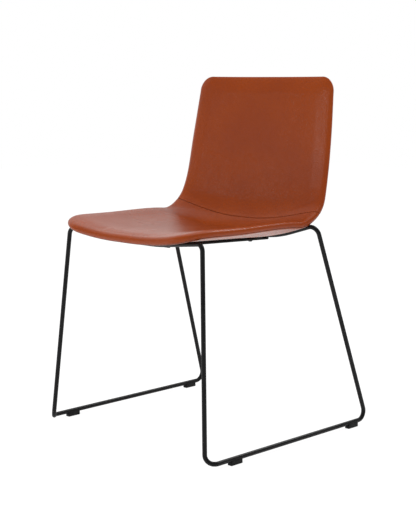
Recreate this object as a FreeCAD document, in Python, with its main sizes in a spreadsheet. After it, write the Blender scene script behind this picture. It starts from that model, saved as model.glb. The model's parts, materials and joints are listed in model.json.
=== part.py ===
"""Sled base visitor chair: two bent steel rods, two seat straps, four glides and a padded leather shell.

Millimetres. The floor is Z = 0, the sitter faces -Y and their left hand is at +X.
The origin lies on the floor, midway between the sides and midway between nose and heels.
"""
import FreeCAD, Part
import math
import os

import Sketcher
from FreeCAD import Placement, Rotation, Vector

SIZES = {
    # Steel rod of the sled
    "rod_diameter": 10.0,
    "bar_height": 12.0,
    "bar_spread": 264.4,
    "foot_run": 506.0,
    "front_foot_inset": 17.4,
    "front_lean_in": 4.65,
    "front_lean_back": 3.78,
    "rear_lean_in": 3.82,
    "rear_lean_forward": 17.94,
    "toe_run": 16.5,
    "toe_radius": 19.0,
    "toe_side_radius": 10.0,
    "heel_radius": 20.0,
    "front_top_height": 455.5,
    "front_top_radius": 15.0,
    "front_cross_height": 437.5,
    "front_cross_back": 20.0,
    "front_cross_flat": 60.0,
    "rear_top_height": 469.0,
    "rear_top_radius": 19.0,
    "rear_cross_height": 433.0,
    "rear_cross_flat": 115.0,
    "cross_radius": 300.0,
    # Flat straps that carry the seat
    "strap_width": 30.0,
    "strap_thickness": 4.0,
    "strap_spacing": 150.0,
    "strap_overhang": 8.0,
    "strap_hole": 5.5,
    "front_screw_back": 62.0,
    "rear_screw_fore": 42.0,
    "weld_radius": 2.2,
    # Button head screws and the inserts they turn into
    "screw_diameter": 5.0,
    "screw_head_diameter": 9.5,
    "screw_head_height": 2.75,
    "screw_socket": 3.0,
    "insert_diameter": 8.0,
    "insert_length": 7.0,
    "thread_clearance": 0.1,
    # Plastic glides pegged under the floor bars
    "glide_length": 32.0,
    "glide_width": 12.5,
    "glide_wrap": 0.8,
    "glide_round": 1.6,
    "front_glide_back": 71.0,
    "rear_glide_fore": 52.0,
    "peg_diameter": 3.0,
    "peg_length": 4.0,
    "peg_spacing": 16.0,
    # Centre line of the padded shell, seen from the side
    "nose_overhang": 7.9,
    "nose_side_lead": 1.4,
    "nose_height": 449.9,
    "nose_rise": 8.7,
    "nose_run": 56.9,
    "seat_fall": 3.1,
    "seat_run": 262.5,
    "bend_radius": 90.1,
    "back_recline": 9.6,
    "back_run": 279.5,
    # Outline of the shell along that line, and the flat strip down its middle
    "front_corner": 73.7,
    "top_corner": 37.3,
    "dish_flat": 25.0,
    # Layers of the shell, from outside to inside
    "seat_edge_radius": 9.7,
    "back_edge_radius": 7.7,
    "leather": 1.5,
    "lining": 2.4,
    "glue_line": 0.15,
    "shell_wall": 4.5,
    "boss_diameter": 18.0,
    "boss_height": 16.0,
    "boss_clearance": 0.3,
    # Seam between the seat panel and the back panel: its share of the bend, and its climb at the sides
    "seam_place": 0.53,
    "seam_climb": 30.0,
}

# Cross-sections of the shell: share of the way along, half width, rise of the edges over the middle
STATIONS = {
    "nose": (0.0, 216.2, 22.2),
    "thigh": (0.197, 221.6, 27.9),
    "hip": (0.41, 223.2, 37.6),
    "bend": (0.527, 225.4, 29.3),
    "waist": (0.645, 220.9, 8.1),
    "ribs": (0.806, 215.8, 4.9),
    "top": (1.0, 204.6, 6.7),
}
END_STEPS = (0.0, 0.1, 0.4, 1.0)
CORNER_STEPS = (0.15, 0.4, 0.7, 1.0)
SEAT_STEPS = (0.33, 0.67)
BEND_STEPS = (0.0, 0.2, 0.4, 0.6, 0.8, 1.0)
BACK_STEPS = (0.3, 0.65)
SIDES = {"left": 1, "right": -1}

doc = FreeCAD.newDocument("sled_chair")
sheet = doc.addObject("Spreadsheet::Sheet", "Sizes")
parts = []


def fill_sheet():
    """Write each size into the sheet, one row each, under its own name."""
    for row, (name, value) in enumerate(SIZES.items(), start=1):
        sheet.set("A%d" % row, name)
        sheet.set("B%d" % row, "%.4f" % value)
        sheet.setAlias("B%d" % row, name)
    doc.recompute()


def size(name):
    """Read a size back from the sheet."""
    return float(sheet.get(name))


def bind(item, **cells):
    """Tie properties of an object to formulas over the sheet."""
    for name, formula in cells.items():
        words = formula.split()
        text = " ".join("Sizes." + word if word in SIZES else word for word in words)
        item.setExpression(name, text)
    return item


def keep(item, label):
    """Name an object as a finished sub-part."""
    item.Label = label
    parts.append(item)
    return item


def feature(name, shape, place=None):
    """Put a shape made by hand into the document."""
    item = doc.addObject("Part::Feature", name)
    item.Shape = shape
    item.Placement = place or Placement()
    return item


def boolean(kind, name, base, tool):
    """Cut, or keep the common part of, two objects."""
    item = doc.addObject("Part::" + kind, name)
    item.Base = base
    item.Tool = tool
    return item


def union(name, items):
    """Fuse several objects into one."""
    item = doc.addObject("Part::MultiFuse", name)
    item.Shapes = items
    return item


def group(name, items):
    """Hold several separate solids as one object."""
    item = doc.addObject("Part::Compound", name)
    item.Links = items
    return item


# Rod geometry


def leg_point(foot, lean_in, lean_along, height):
    """Point on a straight leg at a height over the floor."""
    rise = height - size("bar_height")
    inward = rise * math.tan(math.radians(lean_in))
    along = rise * math.tan(math.radians(lean_along))
    return Vector(foot.x - inward, foot.y + along, height)


def heel_reach():
    """How far behind the rear foot's corner the rod's surface lies, seen from the side."""
    half_turn = math.radians(90.0 + size("rear_lean_forward")) / 2
    setback = size("heel_radius") * math.tan(half_turn)
    return size("heel_radius") + size("rod_diameter") / 2 - setback


def origin_back():
    """Distance of the origin behind the front foot, midway between nose and heel."""
    return (size("foot_run") + heel_reach() - size("nose_overhang") - size("nose_side_lead")) / 2


def front_foot():
    return Vector(size("bar_spread") - size("front_foot_inset"), -origin_back(), size("bar_height"))


def rear_foot():
    return Vector(size("bar_spread"), size("foot_run") - origin_back(), size("bar_height"))


def front_leg(height):
    return leg_point(front_foot(), size("front_lean_in"), size("front_lean_back"), height)


def rear_leg(height):
    return leg_point(rear_foot(), size("rear_lean_in"), -size("rear_lean_forward"), height)


def front_cross():
    """Inner knee of the front cross rod, behind its leg and below it."""
    top = front_leg(size("front_top_height"))
    return Vector(size("front_cross_flat"), top.y + size("front_cross_back"), size("front_cross_height"))


def rear_cross():
    """Inner knee of the rear cross rod, straight inward of its leg."""
    top = rear_leg(size("rear_top_height"))
    return Vector(size("rear_cross_flat"), top.y, size("rear_cross_height"))


def rod_knees():
    """Corner points of half the sled, from the front middle round to the rear middle, with radii."""
    toe = front_foot()
    bar = Vector(size("bar_spread"), toe.y + size("toe_run"), size("bar_height"))
    front_mid = Vector(0, front_cross().y, front_cross().z)
    rear_mid = Vector(0, rear_cross().y, rear_cross().z)
    knees = [
        (front_cross(), size("cross_radius")),
        (front_leg(size("front_top_height")), size("front_top_radius")),
        (toe, size("toe_radius")),
        (bar, size("toe_side_radius")),
        (rear_foot(), size("heel_radius")),
        (rear_leg(size("rear_top_height")), size("rear_top_radius")),
        (rear_cross(), size("cross_radius")),
    ]
    return front_mid, knees, rear_mid


def bent_wire(start, knees, end):
    """Straight runs joined by tangent arcs of the given radii."""
    edges = []
    here = start
    for number, (corner, radius) in enumerate(knees):
        onward = knees[number + 1][0] if number + 1 < len(knees) else end
        back = (here - corner).normalize()
        ahead = (onward - corner).normalize()
        half = back.getAngle(ahead) / 2
        setback = radius / math.tan(half)
        middle = (back + ahead).normalize()
        centre = corner + middle * (radius / math.sin(half))
        first = corner + back * setback
        last = corner + ahead * setback
        edges.append(Part.LineSegment(here, first).toShape())
        edges.append(Part.Arc(first, centre - middle * radius, last).toShape())
        here = last
    edges.append(Part.LineSegment(here, end).toShape())
    return Part.Wire(edges)


def make_rods(peg_tools):
    """One bent rod for each side, butted together under the seat, drilled for the glides' pegs."""
    path = feature("rod_path", bent_wire(*rod_knees()))
    ring = bind(doc.addObject("Part::Circle", "rod_section"), Radius="rod_diameter / 2")
    ring.Placement = Placement(rod_knees()[0], Rotation(Vector(0, 0, 1), Vector(1, 0, 0)))
    sweep = doc.addObject("Part::Sweep", "rod_sweep")
    sweep.Sections = [ring]
    sweep.Spine = (path, ["Edge%d" % (number + 1) for number in range(len(path.Shape.Edges))])
    sweep.Solid = True
    drilled = boolean("Cut", "rod_drilled", sweep, peg_tools)
    keep(drilled, "left_sled_rod")
    other = doc.addObject("Part::Mirroring", "rod_mirrored")
    other.Source = drilled
    other.Normal = Vector(1, 0, 0)
    keep(other, "right_sled_rod")


# Straps, welds and screws


def strap_line():
    """Axis of a strap's middle plane: it butts on the front rod and passes under the rear rod."""
    front = front_cross()
    rear = rear_cross()
    radius = size("rod_diameter") / 2
    start = Vector(0, front.y + radius, front.z)
    end = Vector(0, rear.y, rear.z - radius - size("strap_thickness") / 2)
    return start, end


def strap_place(side):
    """Frame of a strap: origin at its front end, X along it, Z square to its face."""
    start, end = strap_line()
    along = (end - start).normalize()
    across = Vector(1, 0, 0)
    turn = Rotation(along, across.negative(), across.cross(along).normalize(), "XZY")
    return Placement(Vector(side * size("strap_spacing") / 2, start.y, start.z), turn)


def strap_length():
    start, end = strap_line()
    return (end - start).Length + size("strap_overhang")


def screw_places():
    """Distances of the two screws along a strap, from its front end."""
    start, end = strap_line()
    run = (end - start).Length
    return [size("front_screw_back"), run - size("rear_screw_fore")]


def origin_plane(body, role):
    """Find one of a body's own origin planes."""
    return [plane for plane in body.Origin.OriginFeatures if plane.Role == role][0]


def sketch_on(body, name, role="XY_Plane"):
    sketch = body.newObject("Sketcher::SketchObject", name)
    sketch.AttachmentSupport = [(origin_plane(body, role), "")]
    sketch.MapMode = "FlatFace"
    return sketch


def rule(sketch, kind, *spots, formula=None):
    """Add a constraint, tied to the sheet where it is a dimension."""
    index = sketch.addConstraint(Sketcher.Constraint(kind, *spots))
    if formula:
        bind(sketch, **{"Constraints[%d]" % index: formula})
    return index


def pad(body, sketch, name, formula, midplane=False):
    item = body.newObject("PartDesign::Pad", name)
    item.Profile = sketch
    item.Midplane = midplane
    bind(item, Length=formula)
    return item


def pocket(body, sketch, name):
    """Cut right through, both ways."""
    item = body.newObject("PartDesign::Pocket", name)
    item.Profile = sketch
    item.Type = "ThroughAll"
    item.Midplane = True
    return item


def make_strap(name, side):
    """Flat bar with square front end, rounded rear end and two screw holes."""
    body = doc.addObject("PartDesign::Body", name)
    half = size("strap_width") / 2
    length = strap_length()
    corner = half / 2
    sketch = sketch_on(body, name + "_outline")
    spots = [Vector(0, -half), Vector(length, -half), Vector(length, half), Vector(0, half)]
    for first, last in zip(spots, spots[1:] + spots[:1]):
        sketch.addGeometry(Part.LineSegment(first, last), False)
    for edge in range(4):
        rule(sketch, "Coincident", edge, 2, (edge + 1) % 4, 1)
    for edge, kind in enumerate(["Horizontal", "Vertical", "Horizontal"]):
        rule(sketch, kind, edge)
    rule(sketch, "Symmetric", 3, 1, 3, 2, -1)
    rule(sketch, "DistanceY", 1, 1, 1, 2, 2 * half, formula="strap_width")
    rule(sketch, "DistanceX", 0, 1, 0, 2, length)
    rule(sketch, "PointOnObject", 0, 1, -2)
    bar = pad(body, sketch, name + "_bar", "strap_thickness", midplane=True)
    holes = sketch_on(body, name + "_holes")
    for number, along in enumerate(screw_places()):
        holes.addGeometry(Part.Circle(Vector(along, 0, 0), Vector(0, 0, 1), size("strap_hole") / 2), False)
        rule(holes, "PointOnObject", number, 3, -1)
        rule(holes, "DistanceX", -1, 1, number, 3, along)
        rule(holes, "Diameter", number, size("strap_hole"), formula="strap_hole")
    drilled = pocket(body, holes, name + "_drilling")
    doc.recompute()
    ends = []
    for number, edge in enumerate(drilled.Shape.Edges, start=1):
        box = edge.BoundBox
        if box.XLength < 1e-6 and box.YLength < 1e-6 and abs(box.XMin - length) < 1e-6:
            ends.append("Edge%d" % number)
    rounding = body.newObject("PartDesign::Fillet", name + "_corners")
    rounding.Base = (drilled, ends)
    rounding.Radius = corner
    body.Tip = rounding
    body.Placement = strap_place(side)
    return keep(body, name)


def bead(name, centre, side):
    """Weld bead: a short round bar along the rod, to be cut back to what lies outside the steel."""
    item = bind(doc.addObject("Part::Cylinder", name), Radius="weld_radius", Height="strap_width - 4")
    start = side * size("strap_spacing") / 2 - (size("strap_width") - 4) / 2
    item.Placement = Placement(Vector(start, centre.y, centre.z), Rotation(Vector(0, 1, 0), 90))
    return item


def make_welds():
    """Four beads on each side: over and under the front joint, before and behind the rear one."""
    beads = []
    radius = size("rod_diameter") / 2
    start, end = strap_line()
    rise = size("strap_thickness") / 2
    for label, side in SIDES.items():
        for number, up in enumerate((rise, -rise)):
            beads.append(bead("%s_front_bead_%d" % (label, number), start + Vector(0, 0, up), side))
        for number, along in enumerate((-radius * 0.7, radius * 0.7)):
            beads.append(bead("%s_rear_bead_%d" % (label, number), end + Vector(0, along, rise), side))
    steel = union("steel_for_beads", [doc.getObject("rod_drilled"), doc.getObject("rod_mirrored"),
                                      doc.getObject("left_seat_strap"), doc.getObject("right_seat_strap")])
    keep(boolean("Cut", "beads_trimmed", group("beads_whole", beads), steel), "strap_welds")


def axis_place(side, along):
    """Frame of a screw: origin on the strap's lower face, Z up along the screw."""
    local = Placement(Vector(along, 0, -size("strap_thickness") / 2), Rotation())
    return strap_place(side).multiply(local)


def each_screw():
    for label, side in SIDES.items():
        for number, along in enumerate(screw_places()):
            yield "%s_%d" % (label, number), axis_place(side, along)


def make_screw(name, place):
    """Button head screw, turned about its axis, with a socket in its head."""
    body = doc.addObject("PartDesign::Body", name)
    shank = (size("screw_diameter") - size("thread_clearance")) / 2
    reach = size("strap_thickness") + size("insert_length")
    head = size("screw_head_diameter") / 2
    deep = size("screw_head_height")
    sketch = sketch_on(body, name + "_profile", "XZ_Plane")
    rim = deep * 0.25
    spots = [Vector(0, -deep), Vector(0, reach), Vector(shank, reach), Vector(shank, 0), Vector(head, 0),
             Vector(head, -rim)]
    for first, last in zip(spots, spots[1:]):
        sketch.addGeometry(Part.LineSegment(first, last), False)
    crown = Vector(head * 0.72, -deep * 0.82)
    sketch.addGeometry(Part.Arc(spots[-1], crown, spots[0]), False)
    turned = body.newObject("PartDesign::Revolution", name + "_turned")
    turned.Profile = sketch
    turned.ReferenceAxis = (sketch, ["V_Axis"])
    turned.Angle = 360
    hexagon = sketch_on(body, name + "_socket_shape")
    across = size("screw_socket") / math.sqrt(3)
    corners = [Vector(across * math.cos(math.radians(60 * n)), across * math.sin(math.radians(60 * n)))
               for n in range(6)]
    for first, last in zip(corners, corners[1:] + corners[:1]):
        hexagon.addGeometry(Part.LineSegment(first, last), False)
    hexagon.AttachmentOffset = Placement(Vector(0, 0, -deep * 0.45), Rotation())
    socket = body.newObject("PartDesign::Pocket", name + "_socket")
    socket.Profile = hexagon
    socket.Type = "Length"
    socket.Length = deep
    body.Tip = socket
    body.Placement = place
    return body


def cylinder(name, place, radius, height, start=0.0):
    """Round bar along a frame's Z axis."""
    item = doc.addObject("Part::Cylinder", name)
    bind(item, Radius=radius, Height=height)
    item.Placement = place.multiply(Placement(Vector(0, 0, start), Rotation()))
    return item


def make_fasteners():
    """Screws, and the threaded inserts in the shell's bosses."""
    screws = []
    inserts = []
    for name, place in each_screw():
        screws.append(make_screw("screw_" + name, place))
        top = size("strap_thickness")
        sleeve = cylinder("sleeve_" + name, place, "insert_diameter / 2", "insert_length", top)
        bore = cylinder("bore_" + name, place, "screw_diameter / 2", "insert_length", top)
        inserts.append(boolean("Cut", "insert_" + name, sleeve, bore))
    keep(group("screws", screws), "mounting_screws")
    keep(group("inserts", inserts), "threaded_inserts")


# Glides


def glide_places():
    """Name and middle of each glide on the floor under its bar."""
    front = front_foot().y + size("front_glide_back")
    rear = rear_foot().y - size("rear_glide_fore")
    for label, side in SIDES.items():
        yield "front_%s_glide" % label, Vector(side * size("bar_spread"), front, 0)
        yield "rear_%s_glide" % label, Vector(side * size("bar_spread"), rear, 0)


def make_glide(name, centre):
    """Moulded block with a saddle for the rod, rounded sole edges and two pegs."""
    body = doc.addObject("PartDesign::Body", name)
    half = size("glide_width") / 2
    top = size("bar_height") - size("glide_wrap")
    radius = size("rod_diameter") / 2
    reach = math.sqrt(radius ** 2 - size("glide_wrap") ** 2)
    sketch = sketch_on(body, name + "_section", "XZ_Plane")
    spots = [Vector(-reach, top), Vector(-half, top), Vector(-half, 0), Vector(half, 0), Vector(half, top),
             Vector(reach, top)]
    for first, last in zip(spots, spots[1:]):
        sketch.addGeometry(Part.LineSegment(first, last), False)
    low = Vector(0, size("bar_height") - radius)
    sketch.addGeometry(Part.Arc(spots[0], low, spots[-1]), False)
    block = pad(body, sketch, name + "_block", "glide_length", midplane=True)
    pegs = sketch_on(body, name + "_peg_plan")
    for number, along in enumerate((-size("peg_spacing") / 2, size("peg_spacing") / 2)):
        pegs.addGeometry(Part.Circle(Vector(0, along, 0), Vector(0, 0, 1), size("peg_diameter") / 2), False)
        rule(pegs, "PointOnObject", number, 3, -2)
        rule(pegs, "DistanceY", -1, 1, number, 3, along, formula="peg_spacing / %d" % (2 if along > 0 else -2))
        rule(pegs, "Diameter", number, size("peg_diameter"), formula="peg_diameter")
    pegs.AttachmentOffset = Placement(Vector(0, 0, low.y / 2), Rotation())
    stem = pad(body, pegs, name + "_pegs", "bar_height / 2 - rod_diameter / 4 + peg_length")
    doc.recompute()
    sole = []
    for number, edge in enumerate(stem.Shape.Edges, start=1):
        box = edge.BoundBox
        if box.ZMax < 1e-6 or (box.ZLength > 1 and box.XLength < 1e-6 and box.YLength < 1e-6
                               and abs(abs(box.XMin) - half) < 1e-6):
            sole.append("Edge%d" % number)
    rounding = body.newObject("PartDesign::Fillet", name + "_edges")
    rounding.Base = (stem, sole)
    bind(rounding, Radius="glide_round")
    body.Tip = rounding
    body.Placement = Placement(centre, Rotation())
    return keep(body, name)


def peg_tools():
    """Round tools for the blind holes under the left bar."""
    tools = []
    low = size("bar_height") - size("rod_diameter") / 2
    for name, centre in glide_places():
        if centre.x > 0:
            for number, along in enumerate((-0.5, 0.5)):
                spot = Placement(centre + Vector(0, along * size("peg_spacing"), low / 2), Rotation())
                depth = "bar_height / 2 - rod_diameter / 4 + peg_length"
                tools.append(cylinder("%s_hole_%d" % (name, number), spot, "peg_diameter / 2", depth))
    return union("peg_holes", tools)


# Padded shell


def centre_line():
    """Arc over the nose, straight seat, bend and straight back, with their lengths and turns."""
    bend_turn = math.radians(90.0 - size("back_recline") + size("seat_fall"))
    nose_turn = math.radians(size("nose_rise") + size("seat_fall"))
    pieces = [(size("nose_run"), -nose_turn), (size("seat_run"), 0.0),
              (bend_turn * size("bend_radius"), bend_turn), (size("back_run"), 0.0)]
    return pieces, sum(length for length, turn in pieces)


def on_centre(station):
    """Point, forward direction and upward normal on the centre line, a distance from the nose."""
    pieces, total = centre_line()
    heading = math.radians(size("nose_rise"))
    point = Vector(0, front_foot().y - size("nose_overhang"), size("nose_height"))
    left = station
    for length, turn in pieces[:-1]:
        if left < length:
            break
        point, heading = advance(point, heading, length, turn)
        left -= length
    else:
        length, turn = pieces[-1]
    point, heading = advance(point, heading, left, turn * left / length)
    ahead = Vector(0, math.cos(heading), math.sin(heading))
    return point, ahead, Vector(0, -ahead.z, ahead.y)


def advance(point, heading, length, turn):
    """Go a length along an arc that turns by an angle, or straight on."""
    middle = heading + turn / 2
    chord = length * math.sin(turn / 2) / (turn / 2) if abs(turn) > 1e-9 else length
    return point + Vector(0, math.cos(middle), math.sin(middle)) * chord, heading + turn


def blend(station, column):
    """Smooth value between the named cross-sections: column 1 is half width, 2 is edge rise."""
    rows = list(STATIONS.values())
    share = min(max(station / centre_line()[1], rows[0][0]), rows[-1][0])
    index = max(number for number, row in enumerate(rows[:-1]) if row[0] <= share)
    slopes = []
    for number in (index, index + 1):
        before = rows[max(number - 1, 0)]
        after = rows[min(number + 1, len(rows) - 1)]
        slopes.append((after[column] - before[column]) / (after[0] - before[0]))
    low, high = rows[index], rows[index + 1]
    span = high[0] - low[0]
    part = (share - low[0]) / span
    rise = high[column] - low[column]
    bend_in = slopes[0] * span - rise
    bend_out = rise - slopes[1] * span
    return low[column] + rise * part + part * (1 - part) * ((1 - part) * bend_in + part * bend_out)


def edge_radius(station):
    """Half thickness of the padding, thinner towards the top of the back."""
    share = station / centre_line()[1]
    return size("seat_edge_radius") + (size("back_edge_radius") - size("seat_edge_radius")) * share ** 3


def corner_loss(reach, radius):
    """How much a round corner takes off the half width, a distance from the end."""
    left = max(radius - max(reach, 0.0), 0.0)
    return radius - math.sqrt(radius ** 2 - left ** 2)


def outline_width(station):
    """Half width of the outline, rounded off at the front corners and the top corners."""
    front = corner_loss(station, size("front_corner"))
    top = corner_loss(centre_line()[1] - station, size("top_corner"))
    return blend(station, 1) - front - top


def half_thickness(station, inset):
    """Half thickness at a station, rounded off at the nose and at the top."""
    full = edge_radius(station)
    near = min(station, centre_line()[1] - station, full)
    return math.sqrt(max((full - inset) ** 2 - (full - near) ** 2, 0.0))


def dish_point(station, across, offset):
    """Point over or under the middle surface, by its distance across."""
    point, ahead, up = on_centre(station)
    flat = size("dish_flat")
    if abs(across) <= flat:
        return point + up * offset + Vector(across, 0, 0)
    run = blend(station, 1) - flat
    rise = blend(station, 2)
    radius = (run * run + rise * rise) / (2 * rise)
    angle = (abs(across) - flat) / radius
    out = flat + (radius - offset) * math.sin(angle)
    lift = radius - (radius - offset) * math.cos(angle)
    return point + up * lift + Vector(math.copysign(out, across), 0, 0)


def rim_point(station, reach, thick, angle):
    """Point on the half round edge of the padding, by its angle over the middle surface."""
    middle = dish_point(station, reach, 0.0)
    over = (dish_point(station, reach, 1.0) - middle).normalize()
    out = on_centre(station)[1].cross(over) * math.copysign(1.0, reach)
    return middle + (out * math.cos(angle) + over * math.sin(angle)) * thick


def span_points(station, reach, thick, angle):
    """Six points of the curve across the padding at one level, from rim to rim."""
    flat = min(size("dish_flat"), reach / 2)
    half = (reach + flat) / 2
    level = thick * math.sin(angle)
    inner = [dish_point(station, across, level) for across in (-half, -flat, flat, half)]
    ends = [rim_point(station, side * reach, thick, angle) for side in (-1, 1)]
    return ends[:1] + inner + ends[1:]


def span_edges(spots):
    """Edge arc, flat line and edge arc through six points."""
    return [Part.Arc(*spots[:3]).toShape(), Part.LineSegment(spots[2], spots[3]).toShape(),
            Part.Arc(*spots[3:]).toShape()]


def rim_edges(station, reach, thick, first, last):
    """Part of the round edge between two angles, as two arcs."""
    spots = [rim_point(station, reach, thick, first + (last - first) * n / 4) for n in range(5)]
    return [Part.Arc(*spots[:3]).toShape(), Part.Arc(*spots[2:]).toShape()]


def layer_section(station, inset, low, high):
    """Closed cross-section of a layer of the padding between two heights, None being its surface."""
    thick = half_thickness(station, inset)
    reach = outline_width(station) - thick - inset
    angles = []
    for height, surface in ((low, -1.0), (high, 1.0)):
        level = surface if height is None else (height - edge_radius(station)) / thick
        angles.append(math.asin(min(max(level, -1.0), 1.0)))
    under, over = angles
    edges = span_edges(span_points(station, reach, thick, over))
    edges += rim_edges(station, reach, thick, over, under)
    edges += span_edges(span_points(station, reach, thick, under)[::-1])
    edges += rim_edges(station, -reach, thick, under, over)
    return Part.Wire(edges)


def between(start, end, steps):
    return [start + (end - start) * step for step in steps]


def end_inset(station, inset, need):
    """How far in from an end the padding reaches a needed half thickness."""
    full = edge_radius(station)
    return full - math.sqrt((full - inset) ** 2 - need ** 2)


def stations(inset, depth):
    """Places of the cross-sections. Depth is the part of the edge radius a layer needs at its ends."""
    pieces, total = centre_line()
    nose = edge_radius(0)
    crown = edge_radius(total)
    front = size("front_corner")
    corner = total - size("top_corner")
    bend = pieces[0][0] + pieces[1][0]
    back = bend + pieces[2][0]
    places = between(end_inset(0, inset, depth * nose), nose, END_STEPS)
    places += between(nose, front, CORNER_STEPS) + between(front, bend, SEAT_STEPS)
    places += between(bend, back, BEND_STEPS) + between(back, corner, BACK_STEPS)
    places += between(total - crown, corner, CORNER_STEPS)[::-1]
    return places + between(total - end_inset(total, inset, depth * crown), total - crown, END_STEPS)[::-1]


def seam_station():
    pieces, total = centre_line()
    return pieces[0][0] + pieces[1][0] + pieces[2][0] * size("seam_place")


def layer(name, inset, low=None, high=None, depth=0.15, side=None):
    """Loft of one layer, for the whole shell or for the seat's or the back's side of the seam."""
    places = stations(inset, depth)
    seam = seam_station()
    if side == "seat":
        places = [place for place in places if place < seam - 5] + [seam]
    if side == "back":
        places = [seam] + [place for place in places if place > seam + 5]
    return feature(name, Part.makeLoft([layer_section(place, inset, low, high) for place in places], True, False))


def seam_tool():
    """Block on the seat's side of the seam. The seam climbs the back towards the sides."""
    total = centre_line()[1]
    point, ahead, up = on_centre(seam_station())
    wider = 1.2
    half = blend(seam_station(), 1) * wider
    climb = ahead * size("seam_climb") * wider ** 2
    deep = size("bend_radius")
    right = point + climb - Vector(half, 0, 0)
    left = point + climb + Vector(half, 0, 0)
    back = ahead * -total
    edges = [Part.Arc(right, point, left).toShape(), Part.LineSegment(left, left + back).toShape(),
             Part.LineSegment(left + back, right + back).toShape(), Part.LineSegment(right + back, right).toShape()]
    face = Part.Face(Part.Wire(edges))
    face.translate(up * -deep)
    return feature("seat_side", face.extrude(up * (deep + total)))


def post_tools(name, radius, height):
    """Round posts standing on the straps, one at each screw."""
    posts = []
    for label, place in each_screw():
        start = size("strap_thickness")
        posts.append(cylinder(name + "_" + label, place, radius, height, start))
    return union(name, posts)


def make_shell():
    """Moulded shell with bosses, its lining and foam, and the three leather panels."""
    wall = size("leather")
    lined = wall + size("lining")
    plate_top = lined + size("shell_wall")
    radius = size("seat_edge_radius")
    shell_depth = 1 - lined / radius
    holes = post_tools("boss_holes", "boss_diameter / 2 + boss_clearance", "boss_height")
    bosses = post_tools("boss_blanks", "boss_diameter / 2", "boss_height")
    sleeves = post_tools("insert_holes", "insert_diameter / 2", "insert_length")

    plate = layer("plate", wall, lined, plate_top, shell_depth)
    foam = layer("foam_whole", wall, plate_top, None)
    posts = boolean("Cut", "bosses", bosses, foam)
    keep(boolean("Cut", "bored_shell", union("plate_and_bosses", [plate, posts]), sleeves), "inner_shell")
    keep(layer("foam_seat", wall, plate_top, None, side="seat"), "seat_foam")
    keep(layer("foam_back", wall, plate_top, None, side="back"), "back_foam")
    lining = layer("lining_whole", wall + size("glue_line"), None, lined, shell_depth + 0.05)
    keep(boolean("Cut", "lining_cut", lining, holes), "outer_lining")

    core = layer("inside_leather", wall)
    seat_side = seam_tool()
    front = boolean("Cut", "front_leather", layer("front_whole", 0.0, lined, None), core)
    keep(boolean("Common", "leather_seat", front, seat_side), "seat_cover")
    keep(boolean("Cut", "leather_back", front, seat_side), "back_cover")
    outer = boolean("Cut", "outer_leather", layer("outer_whole", 0.0, None, lined, shell_depth + 0.05), core)
    keep(boolean("Cut", "outer_cut", outer, holes), "outer_cover")


def check():
    """Stop when any object failed to build."""
    for item in doc.Objects:
        if "Invalid" in item.State or "Error" in item.State:
            raise RuntimeError("%s is in state %s" % (item.Label, item.State))
    for item in parts:
        if item.Shape.isNull() or not item.Shape.isValid():
            raise RuntimeError("%s has a bad shape" % item.Label)


def main():
    fill_sheet()
    make_rods(peg_tools())
    for label, side in SIDES.items():
        make_strap(label + "_seat_strap", side)
    make_welds()
    make_fasteners()
    for name, centre in glide_places():
        make_glide(name, centre)
    make_shell()
    doc.recompute()
    check()
    os.makedirs("parts", exist_ok=True)
    for item in parts:
        item.Shape.exportStep("parts/%s.step" % item.Label)
        print("%-22s %d solid(s), %.0f mm3" % (item.Label, len(item.Shape.Solids), item.Shape.Volume))


main()
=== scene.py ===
"""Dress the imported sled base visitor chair.

Bent rods, straps, welds, screws, glides and padded leather panels, in metres in the row frame:
the floor is Z = 0, the sitter faces -Y and their left hand is at +X.
"""

import json
import logging
import math
from dataclasses import dataclass, field
from enum import Enum
from typing import Callable, Iterable, Optional, Sequence, Union

import bmesh
import bpy
from bpy.types import Material, Mesh, Node, NodeSocket, NodeTree, Object
from mathutils import Matrix, Vector

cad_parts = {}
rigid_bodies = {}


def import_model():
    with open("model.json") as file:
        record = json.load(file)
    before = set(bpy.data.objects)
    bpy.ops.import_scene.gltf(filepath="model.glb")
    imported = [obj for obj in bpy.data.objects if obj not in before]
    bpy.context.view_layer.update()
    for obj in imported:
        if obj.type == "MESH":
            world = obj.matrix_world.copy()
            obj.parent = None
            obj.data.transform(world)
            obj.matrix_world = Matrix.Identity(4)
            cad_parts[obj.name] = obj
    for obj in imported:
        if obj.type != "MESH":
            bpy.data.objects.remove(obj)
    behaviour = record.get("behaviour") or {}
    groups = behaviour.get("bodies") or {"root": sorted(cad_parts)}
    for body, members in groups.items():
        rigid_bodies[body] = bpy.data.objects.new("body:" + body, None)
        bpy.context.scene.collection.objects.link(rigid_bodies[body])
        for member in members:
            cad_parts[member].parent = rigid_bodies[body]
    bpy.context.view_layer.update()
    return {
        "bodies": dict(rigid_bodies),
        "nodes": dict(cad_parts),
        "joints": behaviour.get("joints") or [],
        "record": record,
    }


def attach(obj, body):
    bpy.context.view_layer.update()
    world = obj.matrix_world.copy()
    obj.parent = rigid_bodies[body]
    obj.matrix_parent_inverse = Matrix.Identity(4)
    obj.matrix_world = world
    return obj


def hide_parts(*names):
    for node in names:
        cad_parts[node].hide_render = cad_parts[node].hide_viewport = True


LOG = logging.getLogger("chair")
BODY = "root"
SIDES = {"left": 1.0, "right": -1.0}
FLOAT, WHOLE, VECTOR = "NodeSocketFloat", "NodeSocketInt", "NodeSocketVector"
MIX_COLOURS, MIX_RESULT = (6, 7), 2
WHITE = (1.0, 1.0, 1.0, 1.0)
Source = Union[float, Sequence[float], NodeSocket]


class Slot(Enum):
    """Material slots of the record that the new pieces stand for."""

    FRAME = "frame"
    SCREW = "screw"
    GLIDE = "glide"
    UPHOLSTERY = "upholstery"


class Panel(Enum):
    """Leather panels of the upholstery."""

    SEAT = "seat_upholstery"
    BACK = "back_upholstery"
    OUTER = "outer_upholstery"


# Node building


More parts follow.
